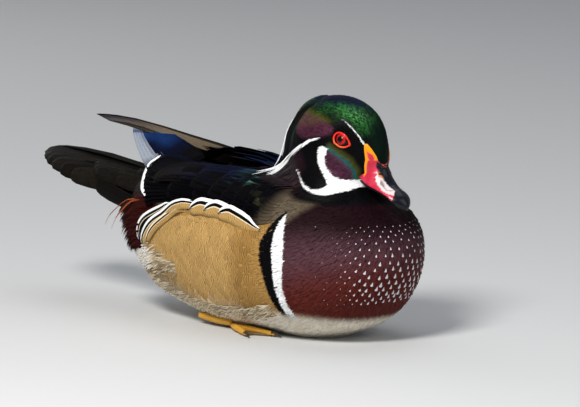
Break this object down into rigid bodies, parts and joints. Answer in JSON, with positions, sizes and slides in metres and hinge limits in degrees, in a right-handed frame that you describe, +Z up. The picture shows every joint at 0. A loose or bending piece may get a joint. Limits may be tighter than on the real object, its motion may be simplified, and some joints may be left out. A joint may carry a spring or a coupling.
{
  "type": "wood duck",
  "caption": "Drake of a small crested duck as a still model in its swimming pose: head up, wings folded over the back, tail raised, feet tucked under the belly.",
  "frame": {"origin": "middle of the belly's flat, on the floor that the bird rests on", "axes": "+X towards the bill, +Y the bird's left, +Z up"},
  "size_m": [0.3471, 0.1234, 0.167],
  "materials": {
    "head": "glossy iridescent green-black feathers",
    "neck": "purple-black feathers with a white collar",
    "crest": "long iridescent feathers with white lines",
    "breast": "chestnut feathers with white flecks",
    "torso": "soft body feathers",
    "tail": "long dark feathers",
    "bill_upper": "smooth horny skin",
    "bill_lower": "smooth horny skin",
    "eye_left": "wet and clear",
    "flank_left": "golden finely barred feathers",
    "wing_left": "dark feathers with a blue gloss",
    "leg_left": "scaly skin",
    "foot_left": "scaly skin with dark webs and claws",
    "eye_right": "wet and clear",
    "flank_right": "golden finely barred feathers",
    "wing_right": "dark feathers with a blue gloss",
    "leg_right": "scaly skin",
    "foot_right": "scaly skin with dark webs and claws"
  },
  "bodies": {
    "root": {"head": "head", "neck": "neck", "crest": "crest", "breast": "breast", "torso": "torso", "tail": "tail", "bill_upper": "bill_upper", "bill_lower": "bill_lower", "eye_left": "eye_left", "flank_left": "flank_left", "wing_left": "wing_left", "leg_left": "leg_left", "foot_left": "foot_left", "eye_right": "eye_right", "flank_right": "flank_right", "wing_right": "wing_right", "leg_right": "leg_right", "foot_right": "foot_right"}
  },
  "joints": []
}
